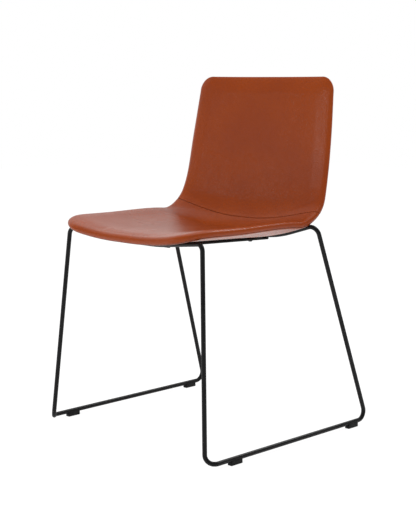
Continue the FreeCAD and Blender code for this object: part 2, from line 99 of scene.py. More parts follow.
class Net:
    """Adds nodes to one node tree and joins their sockets."""

    def __init__(self, tree: NodeTree) -> None:
        """Keep the shader or geometry node tree to work on."""
        self.tree = tree

    def feed(self, node: Node, key: Union[int, str], value: Source) -> None:
        """Link a socket to an input, or set the input to a constant.

        Args:
            node: node that has the input.
            key: name or number of the input.
            value: what goes in.
        """
        if isinstance(value, NodeSocket):
            self.tree.links.new(value, node.inputs[key])
        else:
            node.inputs[key].default_value = value

    def add(self, kind: str, inputs: Optional[dict] = None, **settings: object) -> Node:
        """Add a node, set its properties, and feed its inputs.

        Args:
            kind: node type name.
            inputs: name or number of each input to what goes in.
            settings: properties of the node itself.

        Returns:
            The new node.
        """
        node = self.tree.nodes.new(kind)
        for name, value in settings.items():
            setattr(node, name, value)
        for key, value in (inputs or {}).items():
            self.feed(node, key, value)
        return node

    def math(self, operation: str, *values: Source) -> NodeSocket:
        """Add a Math node on the values and return its result."""
        return self.add("ShaderNodeMath", dict(enumerate(values)), operation=operation).outputs[0]

    def vector(self, operation: str, inputs: dict) -> NodeSocket:
        """Add a Vector Math node on the inputs and return its vector."""
        return self.add("ShaderNodeVectorMath", inputs, operation=operation).outputs[0]

    def noise(self, place: NodeSocket, scale: Source, detail: Source, roughness: float = 0.5) -> Node:
        """Add a noise texture at a place and return its node."""
        return self.add("ShaderNodeTexNoise", {"Vector": place, "Scale": scale, "Detail": detail,
                                               "Roughness": roughness})

    def ramp(self, value: NodeSocket, low: float, high: float) -> NodeSocket:
        """Ease a value from 0 at low to 1 at high and return the result."""
        return self.add("ShaderNodeMapRange", {"Value": value, "From Min": low, "From Max": high},
                        interpolation_type="SMOOTHSTEP").outputs["Result"]

    def tint(self, factor: NodeSocket, first: Source, second: Source) -> NodeSocket:
        """Mix two colours.

        Args:
            factor: 0 gives the first colour and 1 the second.
            first: colour or socket.
            second: colour or socket.

        Returns:
            The mixed colour.
        """
        node = self.add("ShaderNodeMix", {0: factor}, data_type="RGBA")
        for index, value in zip(MIX_COLOURS, (first, second)):
            self.feed(node, index, value if isinstance(value, NodeSocket) else (*value, 1.0))
        return node.outputs[MIX_RESULT]

    def bump(self, height: NodeSocket, relief: tuple, below: Optional[NodeSocket] = None) -> NodeSocket:
        """Turn heights into a normal.

        Args:
            height: heights to read.
            relief: strength, and distance that a height of 1 stands for.
            below: normal of a coarser relief underneath.

        Returns:
            The normal.
        """
        inputs = {"Height": height, "Strength": relief[0], "Distance": relief[1]}
        if below is not None:
            inputs["Normal"] = below
        return self.add("ShaderNodeBump", inputs).outputs["Normal"]

    def mirrored(self, path: Node) -> NodeSocket:
        """Return 1 for rays that a Light Path node calls glossy or transmitted, and 0 for the rest."""
        return self.math("MAXIMUM", path.outputs["Is Glossy Ray"], path.outputs["Is Transmission Ray"])


def make_group(name: str, kind: str, inputs: Sequence[tuple], outputs: Sequence[tuple]) -> tuple:
    """Make an empty node group with named sockets.

    Args:
        name: the group's name.
        kind: node tree type.
        inputs: name, socket type and default of each input.
        outputs: name and socket type of each output.

    Returns:
        The group, a Net on it, its input node and its output node.
    """
    group = bpy.data.node_groups.new(name, kind)
    for title, socket, default in inputs:
        item = group.interface.new_socket(name=title, in_out="INPUT", socket_type=socket)
        if default is not None:
            item.default_value = default
    for title, socket in outputs:
        group.interface.new_socket(name=title, in_out="OUTPUT", socket_type=socket)
    net = Net(group)
    return group, net, net.add("NodeGroupInput"), net.add("NodeGroupOutput")


def make_effect(name: str, inputs: Sequence[tuple], *outputs: str) -> tuple:
    """Make an empty shader group that reads a vector and puts out values, as make_group does."""
    return make_group(name, "ShaderNodeTree", [("Vector", VECTOR, None), *inputs],
                      [(title, FLOAT) for title in outputs])


# Effects that more than one finish uses


@dataclass(frozen=True)
class PebbleGrain:
    """Raised irregular cells with creases between them."""

    drift: tuple = (0.7, 2.0)
    fine: tuple = (3.5, 3.0)
    fine_height: float = 0.22
    dome_fall: float = 1.4
    crease_width: float = 0.12

    def make(self) -> NodeTree:
        """Build the group.

        Returns:
            The group: Height of the surface and a mask of its Creases.
        """
        group, net, inside, out = make_effect(
            "pebble_cells", [("Cell Size", FLOAT, 0.002), ("Wander", FLOAT, 0.4)], "Height", "Creases")
        rate = net.math("DIVIDE", 1.0, inside.outputs["Cell Size"])
        spread = net.vector("SCALE", {0: inside.outputs["Vector"], "Scale": rate})
        drift = net.noise(spread, *self.drift).outputs["Color"]
        middle = net.vector("SUBTRACT", {0: drift, 1: (0.5, 0.5, 0.5)})
        pushed = net.vector("SCALE", {0: middle, "Scale": inside.outputs["Wander"]})
        cells = {"Vector": net.vector("ADD", {0: spread, 1: pushed}), "Scale": 1.0}
        edge = net.add("ShaderNodeTexVoronoi", cells, feature="DISTANCE_TO_EDGE").outputs["Distance"]
        away = net.add("ShaderNodeTexVoronoi", cells, feature="F1").outputs["Distance"]
        fall = net.math("MULTIPLY", net.math("MULTIPLY", away, away), self.dome_fall)
        fine = net.noise(cells["Vector"], *self.fine).outputs[0]
        domes = net.math("SUBTRACT", 1.0, fall)
        net.feed(out, "Height", net.math("MULTIPLY_ADD", fine, self.fine_height, domes))
        net.feed(out, "Creases", net.math("SUBTRACT", 1.0, net.ramp(edge, 0.0, self.crease_width)))
        return group


@dataclass(frozen=True)
class SoftPatches:
    """Soft blotches, as where a hide or a coat takes colour unevenly."""

    roughness: float = 0.55
    band: tuple = (0.3, 0.7)

    def make(self) -> NodeTree:
        """Build the group.

        Returns:
            The group: a Mask from 0 to 1.
        """
        group, net, inside, out = make_effect(
            "soft_patches", [("Patch Size", FLOAT, 0.08), ("Detail", FLOAT, 4.0)], "Mask")
        rate = net.math("DIVIDE", 1.0, inside.outputs["Patch Size"])
        cloud = net.noise(inside.outputs["Vector"], rate, inside.outputs["Detail"], self.roughness)
        net.feed(out, "Mask", net.ramp(cloud.outputs[0], *self.band))
        return group


@dataclass(frozen=True)
class FloorScuffs:
    """Rubbed streaks that thin out with the height over the floor."""

    per_metre: tuple = (900.0, 120.0, 900.0)
    detail: float = 3.0
    fade: tuple = (0.1, 1.0)
    band: tuple = (0.55, 0.72)

    def make(self) -> NodeTree:
        """Build the group.

        Returns:
            The group: a Mask from 0 to 1.
        """
        group, net, inside, out = make_effect(
            "floor_scuffs", [("Reach", FLOAT, 0.03), ("Amount", FLOAT, 0.5)], "Mask")
        apart = net.add("ShaderNodeSeparateXYZ", {0: inside.outputs["Vector"]})
        level = net.math("DIVIDE", apart.outputs["Z"], inside.outputs["Reach"])
        low = net.math("SUBTRACT", 1.0, net.ramp(level, *self.fade))
        stretched = net.vector("MULTIPLY", {0: inside.outputs["Vector"], 1: self.per_metre})
        marks = net.ramp(net.noise(stretched, 1.0, self.detail).outputs[0], *self.band)
        shown = net.math("MULTIPLY", low, marks)
        net.feed(out, "Mask", net.math("MULTIPLY", shown, inside.outputs["Amount"]))
        return group


class Effects:
    """Shader node groups shared by the finishes, each built once."""

    def __init__(self) -> None:
        """Build the groups."""
        self.pebble = PebbleGrain().make()
        self.patches = SoftPatches().make()
        self.scuffs = FloorScuffs().make()


class Mix:
    """Principled material under construction."""

    def __init__(self, name: str) -> None:
        """Make the material and read its object coordinates.

        Args:
            name: the material's name.
        """
        self.material = bpy.data.materials.new(name)
        self.material.use_nodes = True
        self.net = Net(self.material.node_tree)
        self.place = self.net.add("ShaderNodeTexCoord").outputs["Object"]

    def use(self, effect: NodeTree, **inputs: float) -> Node:
        """Place an effect, with its input names written with _ for a space, and return its node."""
        values = {name.replace("_", " "): value for name, value in inputs.items()}
        return self.net.add("ShaderNodeGroup", {"Vector": self.place, **values}, node_tree=effect)

    def mask(self, effect: NodeTree, **inputs: float) -> NodeSocket:
        """Place an effect as use does and return its mask."""
        return self.use(effect, **inputs).outputs["Mask"]

    def close(self, inputs: dict) -> Material:
        """Feed the shader.

        Args:
            inputs: name of each of the shader's inputs to what goes in.

        Returns:
            The finished material.
        """
        shader = self.material.node_tree.nodes["Principled BSDF"]
        for name, value in inputs.items():
            self.net.feed(shader, name, value)
        return self.material


# Finishes


@dataclass(frozen=True)
class Leather:
    """Cognac leather with a fine pebble grain, semi-matt, with painted shade in the grain's creases and along
    the seams. The seams carry the attribute seam, the strength of their painted shade.
    """

    light: tuple = (0.305, 0.049, 0.0038)
    dark: tuple = (0.275, 0.041, 0.0028)
    # Dark tone of the painted shade in the grain's creases and along the seams.
    shade_colour: tuple = (0.120, 0.020, 0.0045)
    cell: float = 0.0024
    wander: float = 0.5
    patch: float = 0.11
    pore: float = 0.0072
    pore_detail: float = 2.0
    crease_shade: float = 0.35
    seam_shade: float = 0.85
    shine: float = 0.31
    patch_dulling: float = -0.05
    crease_dulling: float = 0.12
    pore_relief: tuple = (0.25, 0.0002)
    grain_relief: tuple = (0.8, 0.00022)
    gloss: float = 0.22

    def make(self, effects: Effects) -> Material:
        """Build the material.

        Args:
            effects: the shared groups.

        Returns:
            The finished material.
        """
        mix = Mix("cognac_leather")
        net = mix.net
        grain = mix.use(effects.pebble, Cell_Size=self.cell, Wander=self.wander)
        creases = grain.outputs["Creases"]
        patches = mix.mask(effects.patches, Patch_Size=self.patch)
        pores = mix.mask(effects.patches, Patch_Size=self.pore, Detail=self.pore_detail)
        # The attribute seam gives the strength of the painted shade along the seams and the rim's parting.
        seam = net.add("ShaderNodeAttribute", attribute_name="seam").outputs["Fac"]
        hide = net.tint(patches, self.dark, self.light)
        # Painted shade: the grain's creases darkened towards the dark shade tone.
        crease_shaded = net.tint(net.math("MULTIPLY", creases, self.crease_shade), hide, self.shade_colour)
        # Painted shade: the seams and the rim's parting darkened towards the dark shade tone.
        surface_tone = net.tint(net.math("MULTIPLY", seam, self.seam_shade), crease_shaded, self.shade_colour)
        rough = net.math("MULTIPLY_ADD", patches, self.patch_dulling, self.shine)
        dull = net.math("MULTIPLY_ADD", creases, self.crease_dulling, rough)
        soft = net.bump(pores, self.pore_relief)
        normal = net.bump(grain.outputs["Height"], self.grain_relief, soft)
        return mix.close({"Base Color": surface_tone, "Roughness": dull, "Normal": normal,
                          "Specular IOR Level": self.gloss})


@dataclass(frozen=True)
class PowderCoat:
    """Satin black powder coat over steel, rubbed where the sled meets the floor."""

    coat: tuple = (0.0045, 0.0045, 0.0050)
    faded: tuple = (0.0085, 0.0085, 0.0090)
    rubbed: tuple = (0.085, 0.083, 0.080)
    patch: float = 0.05
    peel: float = 0.0013
    peel_detail: float = 2.0
    scuff_reach: float = 0.022
    scuff_amount: float = 0.35
    shine: float = 0.36
    patch_dulling: float = 0.08
    scuff_dulling: float = 0.25
    relief: tuple = (0.25, 0.00006)
    gloss: float = 0.2

    def make(self, effects: Effects) -> Material:
        """Build the material.

        Args:
            effects: the shared groups.

        Returns:
            The finished material.
        """
        mix = Mix("black_powder_coat")
        net = mix.net
        patches = mix.mask(effects.patches, Patch_Size=self.patch)
        scuffs = mix.mask(effects.scuffs, Reach=self.scuff_reach, Amount=self.scuff_amount)
        peel = mix.mask(effects.patches, Patch_Size=self.peel, Detail=self.peel_detail)
        surface_tone = net.tint(scuffs, net.tint(patches, self.coat, self.faded), self.rubbed)
        rough = net.math("MULTIPLY_ADD", patches, self.patch_dulling, self.shine)
        dull = net.math("MULTIPLY_ADD", scuffs, self.scuff_dulling, rough)
        return mix.close({"Base Color": surface_tone, "Roughness": dull, "Normal": net.bump(peel, self.relief),
                          "Specular IOR Level": self.gloss})


@dataclass(frozen=True)
class MouldedPlastic:
    """Black moulded plastic with a spark eroded grain."""

    name: str = "black_nylon"
    base: tuple = (0.006, 0.006, 0.0065)
    pale: tuple = (0.010, 0.010, 0.0105)
    scratch: tuple = (0.11, 0.11, 0.105)
    cell: float = 0.00045
    wander: float = 0.8
    patch: float = 0.012
    scuff_reach: float = 0.010
    scuff_amount: float = 0.25
    shine: float = 0.55
    crease_dulling: float = 0.1
    relief: tuple = (0.5, 0.00004)
    gloss: float = 0.2

    def make(self, effects: Effects) -> Material:
        """Build the material.

        Args:
            effects: the shared groups.

        Returns:
            The finished material.
        """
        mix = Mix(self.name)
        net = mix.net
        grain = mix.use(effects.pebble, Cell_Size=self.cell, Wander=self.wander)
        patches = mix.mask(effects.patches, Patch_Size=self.patch)
        scuffs = mix.mask(effects.scuffs, Reach=self.scuff_reach, Amount=self.scuff_amount)
        surface_tone = net.tint(scuffs, net.tint(patches, self.base, self.pale), self.scratch)
        dull = net.math("MULTIPLY_ADD", grain.outputs["Creases"], self.crease_dulling, self.shine)
        return mix.close({"Base Color": surface_tone, "Roughness": dull, "Specular IOR Level": self.gloss,
                          "Normal": net.bump(grain.outputs["Height"], self.relief)})


@dataclass(frozen=True)
class TurnedMetal:
    """Plain metal of small fittings, with fine turning marks and dull patches."""

    name: str
    base: tuple
    dull: tuple
    patch: float = 0.004
    mark: float = 0.0004
    mark_detail: float = 1.0
    shine: float = 0.34
    patch_dulling: float = 0.15
    relief: tuple = (0.3, 0.00003)

    def make(self, effects: Effects) -> Material:
        """Build the material.

        Args:
            effects: the shared groups.

        Returns:
            The finished material.
        """
        mix = Mix(self.name)
        net = mix.net
        patches = mix.mask(effects.patches, Patch_Size=self.patch)
        marks = mix.mask(effects.patches, Patch_Size=self.mark, Detail=self.mark_detail)
        rough = net.math("MULTIPLY_ADD", patches, self.patch_dulling, self.shine)
        return mix.close({"Base Color": net.tint(patches, self.base, self.dull), "Roughness": rough,
                          "Normal": net.bump(marks, self.relief), "Metallic": 1.0})


# Geometry node trees


def new_tree(name: str, inputs: Sequence[tuple]) -> tuple:
    """Make a geometry node tree with a mesh in, a mesh out, and a material to set.

    Args:
        name: the tree's name.
        inputs: name, socket type and default of the inputs besides Geometry and Material.

    Returns:
        The tree, a Net on it, its input node and its output node.
    """
    sockets = [("Geometry", "NodeSocketGeometry", None), *inputs, ("Material", "NodeSocketMaterial", None)]
    return make_group(name, "GeometryNodeTree", sockets, [("Geometry", "NodeSocketGeometry")])


def close_tree(net: Net, inside: Node, out: Node, mesh: NodeSocket) -> None:
    """Shade a result smooth, realize it, give it its material and send it out.

    Args:
        net: the tree's Net.
        inside: its input node.
        out: its output node.
        mesh: the geometry to send out.
    """
    smooth = net.add("GeometryNodeSetShadeSmooth", {"Geometry": mesh})
    real = net.add("GeometryNodeRealizeInstances", {"Geometry": smooth.outputs[0]})
    dressed = net.add("GeometryNodeSetMaterial", {"Geometry": real.outputs[0],
                                                  "Material": inside.outputs["Material"]})
    net.feed(out, "Geometry", dressed.outputs[0])


def tube_tree() -> NodeTree:
    """Round bar swept along the input's edges.

    Returns:
        The tree, with inputs Radius and Sides.
    """
    tree, net, inside, out = new_tree("round_bar", [("Radius", FLOAT, 0.005), ("Sides", WHOLE, 24)])
    line = net.add("GeometryNodeMeshToCurve", {"Mesh": inside.outputs["Geometry"]})
    ring = net.add("GeometryNodeCurvePrimitiveCircle", {"Resolution": inside.outputs["Sides"],
                                                        "Radius": inside.outputs["Radius"]})
    bar = net.add("GeometryNodeCurveToMesh", {"Curve": line.outputs[0], "Profile Curve": ring.outputs[0],
                                              "Fill Caps": True})
    close_tree(net, inside, out, bar.outputs[0])
    return tree


def ripple_tree() -> NodeTree:
    """Overlapping lenses along the input's edges, as in a torch weld.

    Returns:
        The tree, with inputs Radius, Pitch, Unevenness and Seed.
    """
    tree, net, inside, out = new_tree("weld_ripples", [
        ("Radius", FLOAT, 0.0022), ("Pitch", FLOAT, 0.0014), ("Unevenness", FLOAT, 0.12), ("Seed", WHOLE, 4)])
    uneven = inside.outputs["Unevenness"]
    line = net.add("GeometryNodeMeshToCurve", {"Mesh": inside.outputs["Geometry"]})
    spots = net.add("GeometryNodeResampleCurve", {"Curve": line.outputs[0],
                                                  "Length": inside.outputs["Pitch"]}, mode="LENGTH")
    lens = net.add("GeometryNodeMeshUVSphere", {"Segments": 12, "Rings": 8,
                                                "Radius": inside.outputs["Radius"]})
    change = net.add("FunctionNodeRandomValue", {
        2: net.math("SUBTRACT", 1.0, uneven), 3: net.math("ADD", 1.0, uneven),
        "Seed": inside.outputs["Seed"]}, data_type="FLOAT")
    beads = net.add("GeometryNodeInstanceOnPoints", {"Points": spots.outputs[0], "Instance": lens.outputs[0],
                                                     "Scale": change.outputs[1]})
    close_tree(net, inside, out, beads.outputs[0])
    return tree


def copies_tree() -> NodeTree:
    """One piece placed on each vertex of the input.

    Returns:
        The tree, with the input Piece.
    """
    tree, net, inside, out = new_tree("copies_on_points", [("Piece", "NodeSocketObject", None)])
    spots = net.add("GeometryNodeMeshToPoints", {"Mesh": inside.outputs["Geometry"]})
    piece = net.add("GeometryNodeObjectInfo", {"Object": inside.outputs["Piece"]}, transform_space="ORIGINAL")
    copies = net.add("GeometryNodeInstanceOnPoints", {"Points": spots.outputs[0],
                                                      "Instance": piece.outputs["Geometry"]})
    close_tree(net, inside, out, copies.outputs[0])
    return tree


def new_object(name: str, data: bpy.types.ID) -> Object:
    """Put a mesh, a lamp or a camera in the scene, at the origin.

    Args:
        name: the object's name.
        data: what it holds.

    Returns:
        The object.
    """
    item = bpy.data.objects.new(name, data)
    bpy.context.scene.collection.objects.link(item)
    return item


def wire_object(name: str, lines: Iterable[Sequence[Vector]]) -> Object:
    """Object of loose edges, or of loose vertices for lines of one point.

    Args:
        name: the object's name.
        lines: points of each line.

    Returns:
        The object.
    """
    points, edges = [], []
    for line in lines:
        first = len(points)
        points += [tuple(spot) for spot in line]
        edges += [(first + n, first + n + 1) for n in range(len(line) - 1)]
    mesh = bpy.data.meshes.new(name)
    mesh.from_pydata(points, edges, [])
    return new_object(name, mesh)


def grow(base: Object, tree: NodeTree, **inputs: object) -> Object:
    """Run a geometry node tree on an object and keep the result as a plain mesh.

    Args:
        base: object whose mesh goes in. It is used up.
        tree: the tree to run.
        inputs: input names to values.

    Returns:
        A new object with the result and the base's name.
    """
    modifier = base.modifiers.new("grow", "NODES")
    modifier.node_group = tree
    for socket in tree.interface.items_tree:
        if socket.in_out == "INPUT" and socket.name in inputs:
            modifier[socket.identifier] = inputs[socket.name]
    base.update_tag()
    graph = bpy.context.evaluated_depsgraph_get()
    mesh = bpy.data.meshes.new_from_object(base.evaluated_get(graph))
    name = base.name
    bpy.data.objects.remove(base)
    mesh.name = name
    return new_object(name, mesh)


def plain_mesh(name: str, sheet: bmesh.types.BMesh) -> Mesh:
    """Turn a bmesh into a mesh with its faces outwards.

    Args:
        name: the mesh's name.
        sheet: the bmesh. It is freed.

    Returns:
        The mesh.
    """
    bmesh.ops.recalc_face_normals(sheet, faces=sheet.faces)
    mesh = bpy.data.meshes.new(name)
    sheet.to_mesh(mesh)
    sheet.free()
    return mesh


def apply_modifiers(item: Object) -> None:
    """Replace an object's mesh with its finished mesh and drop its modifiers.

    Args:
        item: the object.
    """
    graph = bpy.context.evaluated_depsgraph_get()
    mesh = bpy.data.meshes.new_from_object(item.evaluated_get(graph))
    item.modifiers.clear()
    item.data = mesh


def ease_edges(item: Object, width: float, degrees: float) -> None:
    """Round an object's sharp edges.

    Args:
        item: the object.
        width: width of the rounding.
        degrees: edges bent less than this stay as they are.
    """
    bevel = item.modifiers.new("eased", "BEVEL")
    bevel.width = width
    bevel.segments = 3
    bevel.angle_limit = math.radians(degrees)
    apply_modifiers(item)


def arc(middle: tuple, radius: float, start: float, sweep: float, steps: int) -> list:
    """Arc in a plane.

    Args:
        middle: its centre.
        radius: its radius.
        start: direction of its first point, in degrees.
        sweep: turn from its first point to its last, in degrees.
        steps: number of steps between them.

    Returns:
        Its points, ends included.
    """
    angles = [math.radians(start + sweep * n / steps) for n in range(steps + 1)]
    return [(middle[0] + radius * math.cos(angle), middle[1] + radius * math.sin(angle)) for angle in angles]


def skin_rings(sheet: bmesh.types.BMesh, rings: Iterable[Sequence[tuple]]) -> None:
    """Join rings of points by faces and close both ends.

    Args:
        sheet: mesh under construction.
        rings: the points of each ring, as many in each.
    """
    rows = [[sheet.verts.new(spot) for spot in ring] for ring in rings]
    for first, last in zip(rows, rows[1:]):
        for k in range(len(first)):
            after = (k + 1) % len(first)
            sheet.faces.new((first[k], first[after], last[after], last[k]))
    sheet.faces.new(rows[0])
    sheet.faces.new(rows[-1])


def smooth_by_angle(item: Object, degrees: float = 40.0) -> None:
    """Shade a mesh smooth except over edges bent more than some degrees."""
    item.data.shade_smooth()
    item.data.set_sharp_from_angle(angle=math.radians(degrees))


def finish_piece(item: Object, slot: Slot, *nodes: str) -> Object:
    """Let a piece ride with the chair, stand for its CAD nodes, and report it.

    Args:
        item: the piece.
        slot: material slot of the record; not used.
        nodes: CAD nodes that it replaces.

    Returns:
        The piece.
    """
    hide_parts(*nodes)
    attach(item, BODY)
    LOG.info("%s: %d faces, for %s", item.name, len(item.data.polygons), ", ".join(nodes))
    return item


# The sled


@dataclass
class SledBase:
    """Bent rods, straps, welds, screws and glides."""

    rod_radius: float = 0.005
    rod_sides: int = 28
    bar_height: float = 0.012
    bar_spread: float = 0.2644
    front_foot: tuple = (0.2470, -0.24709)
    rear_foot: tuple = (0.2644, 0.25891)
    front_lean: tuple = (4.65, 3.78)
    rear_lean: tuple = (3.82, -17.94)
    toe_run: float = 0.0165
    toe_radii: tuple = (0.019, 0.010)
    heel_radius: float = 0.020
    front_top: tuple = (0.4555, 0.015)
    rear_top: tuple = (0.469, 0.019)
    front_cross: tuple = (0.060, 0.020, 0.4375)
    rear_cross: tuple = (0.115, 0.0, 0.433)
    cross_radius: float = 0.300
    strap_half_gap: float = 0.075
    strap_width: float = 0.030
    strap_thickness: float = 0.004
    strap_overhang: float = 0.008
    strap_steps: int = 8
    strap_ease: tuple = (0.0006, 50.0)
    screw_back: float = 0.062
    screw_fore: float = 0.042
    head_radius: float = 0.0052
    head_height: float = 0.0040
    head_sides: int = 36
    head_foot: tuple = ((0.98, 0.0), (1.0, 0.12), (1.0, 0.28))
    dome_steps: int = 6
    socket_radius: float = 0.00173
    socket_mouth: float = 1.25
    socket_levels: tuple = (0.98, 0.35)
    weld_radius: float = 0.0022
    weld_pitch: float = 0.0014
    weld_unevenness: float = 0.12
    weld_seed: int = 4
    weld_inset: float = 0.003
    weld_offset: float = 0.0035
    glide_size: tuple = (0.0125, 0.032, 0.0112)
    glide_back: float = 0.071
    glide_fore: float = 0.052
    glide_round: float = 0.0016
    glide_draft: float = 0.0002
    sole_steps: int = 5
    saddle_steps: int = 12
    glide_ease: tuple = (0.0009, 60.0)
    glide_rings: tuple = (-0.5, -0.25, 0.0, 0.25, 0.5)
    crease_angle: float = 35.0
    steps_per_turn: int = 120

    def leg(self, foot: tuple, lean: tuple, height: float) -> Vector:
        """Point on a straight leg.

        Args:
            foot: where the leg's line meets the floor bar's height.
            lean: how far it leans in, and back, in degrees.
            height: height over the floor.

        Returns:
            The point.
        """
        rise = height - self.bar_height
        inward, back = (math.tan(math.radians(angle)) * rise for angle in lean)
        return Vector((foot[0] - inward, foot[1] + back, height))

    def cross(self, leg_top: Vector, knee: tuple) -> Vector:
        """Inner knee of a cross rod.

        Args:
            leg_top: top corner of its leg.
            knee: distance from the middle, distance behind the leg, and height.

        Returns:
            The knee's corner.
        """
        return Vector((knee[0], leg_top.y + knee[1], knee[2]))

    def ends(self) -> tuple:
        """Inner knees of the front and the rear cross rod.

        Returns:
            Both corners.
        """
        front = self.cross(self.leg(self.front_foot, self.front_lean, self.front_top[0]), self.front_cross)
        rear = self.cross(self.leg(self.rear_foot, self.rear_lean, self.rear_top[0]), self.rear_cross)
        return front, rear

    def rod_line(self) -> list:
        """Centre line of the left rod, with its bends as arcs.

        Returns:
            The points, from the front middle round to the rear middle.
        """
        front, rear = self.ends()
        toe = Vector((*self.front_foot, self.bar_height))
        knees = [
            (front, self.cross_radius),
            (self.leg(self.front_foot, self.front_lean, self.front_top[0]), self.front_top[1]),
            (toe, self.toe_radii[0]),
            (Vector((self.bar_spread, toe.y + self.toe_run, self.bar_height)), self.toe_radii[1]),
            (Vector((*self.rear_foot, self.bar_height)), self.heel_radius),
            (self.leg(self.rear_foot, self.rear_lean, self.rear_top[0]), self.rear_top[1]),
            (rear, self.cross_radius),
        ]
        line = [Vector((0.0, front.y, front.z))]
        last = Vector((0.0, rear.y, rear.z))
        onward = [corner for corner, _ in knees[1:]] + [last]
        for (corner, radius), following in zip(knees, onward):
            line += self.bend(line[-1], corner, following, radius)
        return line + [last]

    def bend(self, before: Vector, corner: Vector, after: Vector, radius: float) -> list:
        """Arc that rounds a corner.

        Args:
            before: a point on the run that comes in.
            corner: the corner.
            after: a point on the run that goes out.
            radius: radius of the arc.

        Returns:
            Points of the arc, ends included.
        """
        back = (before - corner).normalized()
        ahead = (after - corner).normalized()
        half = back.angle(ahead) / 2
        centre = corner + (back + ahead).normalized() * (radius / math.sin(half))
        first = corner + back * (radius / math.tan(half)) - centre
        axis = back.cross(ahead).normalized()
        turn = math.pi - 2 * half
        count = max(3, round(self.steps_per_turn * turn / math.tau))
        return [centre + Matrix.Rotation(-turn * n / count, 3, axis) @ first for n in range(count + 1)]

    def strap_frame(self, side: float) -> Matrix:
        """Frame of a strap: origin at its front end, X along it, Z square to its face.

        Args:
            side: 1 for the left strap and -1 for the right.

        Returns:
            The frame.
        """
        front, rear = self.ends()
        start = Vector((side * self.strap_half_gap, front.y + self.rod_radius, front.z))
        end = Vector((start.x, rear.y, rear.z - self.rod_radius - self.strap_thickness / 2))
        along = (end - start).normalized()
        across = Vector((-1.0, 0.0, 0.0))
        columns = Matrix((along, across, along.cross(across))).transposed().to_4x4()
        return Matrix.Translation(start) @ columns

    def strap_run(self) -> float:
        """Length of a strap from its front end to the middle of the rear rod.

        Returns:
            The length.
        """
        front, rear = self.ends()
        drop = front.z - (rear.z - self.rod_radius - self.strap_thickness / 2)
        return math.hypot(rear.y - front.y - self.rod_radius, drop)

    def screw_spots(self) -> list:
        """Middle of each screw's head, on the strap's lower face.

        Returns:
            The points.
        """
        spots = []
        for side in SIDES.values():
            for along in (self.screw_back, self.strap_run() - self.screw_fore):
                spots.append(self.strap_frame(side) @ Vector((along, 0.0, -self.strap_thickness / 2)))
        return spots

    def build_rods(self, tree: NodeTree, coat: Material) -> None:
        """Sweep both rods.

        Args:
            tree: the round bar's tree.
            coat: their finish.
        """
        for name, side in SIDES.items():
            line = [Vector((side * spot.x, spot.y, spot.z)) for spot in self.rod_line()]
            rod = grow(wire_object(name + "_rod", [line]), tree, Radius=self.rod_radius, Sides=self.rod_sides,
                       Material=coat)
            smooth_by_angle(rod)
            finish_piece(rod, Slot.FRAME, name + "_sled_rod")

    def build_straps(self, coat: Material) -> None:
        """Make both straps with eased edges and round rear corners.

        Args:
            coat: their finish.
        """
        length = self.strap_run() + self.strap_overhang
        half, rise = self.strap_width / 2, self.strap_thickness / 2
        corner = half / 2
        outline = [(0.0, -half), (0.0, half)]
        for middle, start in ((half - corner, 90), (corner - half, 0)):
            outline += arc((length - corner, middle), corner, start, -90, self.strap_steps)
        for name, side in SIDES.items():
            bar = bmesh.new()
            skin_rings(bar, [[(*spot, level) for spot in outline] for level in (-rise, rise)])
            bmesh.ops.transform(bar, matrix=self.strap_frame(side), verts=bar.verts)
            strap = new_object(name + "_strap", plain_mesh(name + "_strap", bar))
            ease_edges(strap, *self.strap_ease)
            smooth_by_angle(strap)
            strap.data.materials.append(coat)
            finish_piece(strap, Slot.FRAME, name + "_seat_strap")

    def build_welds(self, tree: NodeTree, coat: Material) -> None:
        """Lay the rippled beads over and under the front joints and beside the rear ones.

        Args:
            tree: the ripples' tree.
            coat: their finish.
        """
        front, rear = self.ends()
        rise = self.strap_thickness / 2
        run = self.strap_width / 2 - self.weld_inset
        spots = [(front.y + self.rod_radius, front.z + way * rise) for way in (1, -1)]
        spots += [(rear.y + way * self.weld_offset, rear.z - self.rod_radius) for way in (-1, 1)]
        beads = []
        for side in SIDES.values():
            ends = [side * self.strap_half_gap + way * run for way in (-1, 1)]
            beads += [[Vector((across, along, height)) for across in ends] for along, height in spots]
        weld = grow(wire_object("weld_beads", beads), tree, Radius=self.weld_radius, Pitch=self.weld_pitch,
                    Unevenness=self.weld_unevenness, Seed=self.weld_seed, Material=coat)
        finish_piece(weld, Slot.FRAME, "strap_welds")

    def screw_mesh(self) -> Mesh:
        """Button head with a hexagon socket, head down, tilted square to the strap.

        Returns:
            The mesh, its origin on the strap's lower face.
        """
        radius, deep = self.head_radius, self.head_height
        mouth = self.socket_radius * self.socket_mouth
        foot = self.head_foot[-1][1]
        profile = [(radius * reach, -deep * level) for reach, level in self.head_foot]
        for reach, level in arc((0.0, 0.0), 1.0, 0, 90, self.dome_steps)[1:]:
            profile.append((mouth + (radius - mouth) * reach, -deep * (foot + (1.0 - foot) * level)))
        turns = [math.tau * k / self.head_sides for k in range(self.head_sides)]
        rings = [[(reach * math.cos(turn), reach * math.sin(turn), level) for turn in turns]
                 for reach, level in profile]
        rings += [[self.hexagon(turn, -deep * level) for turn in turns] for level in self.socket_levels]
        head = bmesh.new()
        skin_rings(head, rings)
        tilt = self.strap_frame(1.0).to_3x3().to_4x4()
        bmesh.ops.transform(head, matrix=tilt, verts=head.verts)
        return plain_mesh("button_head", head)

    def hexagon(self, angle: float, level: float) -> tuple:
        """Point on the socket's wall.

        Args:
            angle: direction from the axis.
            level: height of the point.

        Returns:
            The point.
        """
        sector = math.pi / 3
        off = (angle % sector) - sector / 2
        reach = self.socket_radius * math.cos(sector / 2) / math.cos(off)
        return (reach * math.cos(angle), reach * math.sin(angle), level)

    def build_screws(self, tree: NodeTree, steel: Material) -> None:
        """Place a screw head at each hole.

        Args:
            tree: the copies' tree.
            steel: their finish.
        """
        one = new_object("button_head", self.screw_mesh())
        spots = wire_object("screw_heads", [[spot] for spot in self.screw_spots()])
        heads = grow(spots, tree, Piece=one, Material=steel)
        bpy.data.objects.remove(one)
        smooth_by_angle(heads, self.crease_angle)
        finish_piece(heads, Slot.SCREW, "mounting_screws")

